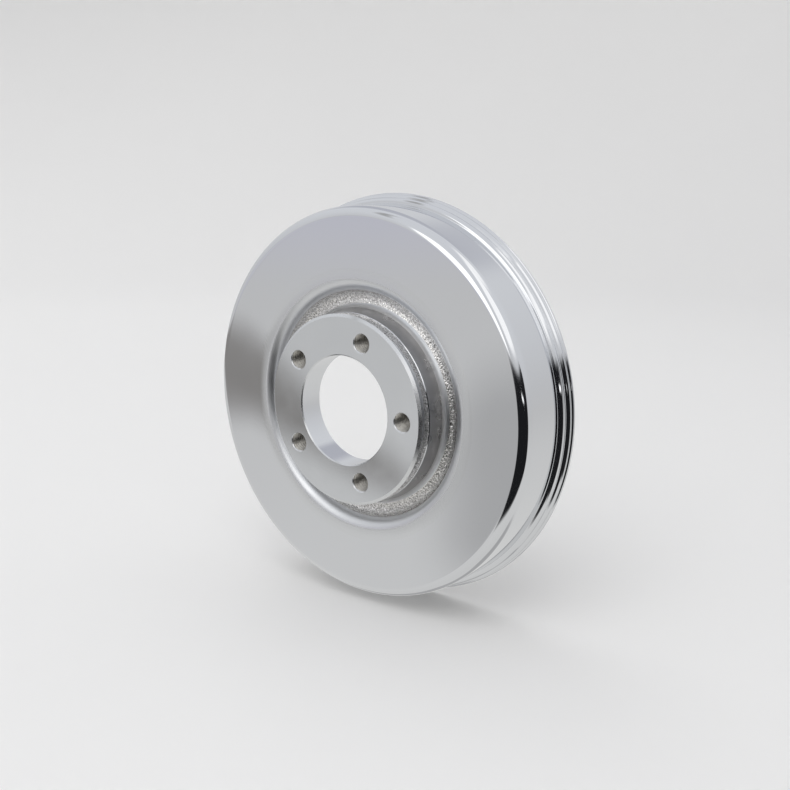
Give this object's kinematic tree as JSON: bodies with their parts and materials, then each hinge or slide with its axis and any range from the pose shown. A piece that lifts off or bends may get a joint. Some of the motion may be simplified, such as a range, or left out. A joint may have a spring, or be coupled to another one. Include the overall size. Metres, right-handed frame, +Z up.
{
  "type": "brake drum",
  "caption": "Chrome-plated motorcycle brake drum with a tapped hub boss, a sand-cast recess around it, a flared grooved lip and a bare iron friction ring inside.",
  "frame": {"origin": "on the hub axis, in the plane of the boss's mounting face", "axes": "Y is the hub axis, +Y from the mounting face to the open end; +Z up; +X right, through the first bolt hole to within one degree"},
  "size_m": [0.2344, 0.0524, 0.2344],
  "materials": {
    "chrome_plate": "polished chrome plate on a turned casting, with sparkling sand-cast grain in the recess around the boss",
    "machined_iron": "bare grey iron, fine turned and ground friction surface with a light film of oil"
  },
  "bodies": {
    "root": {"drum_shell": "chrome_plate", "friction_ring": "machined_iron"}
  },
  "joints": []
}
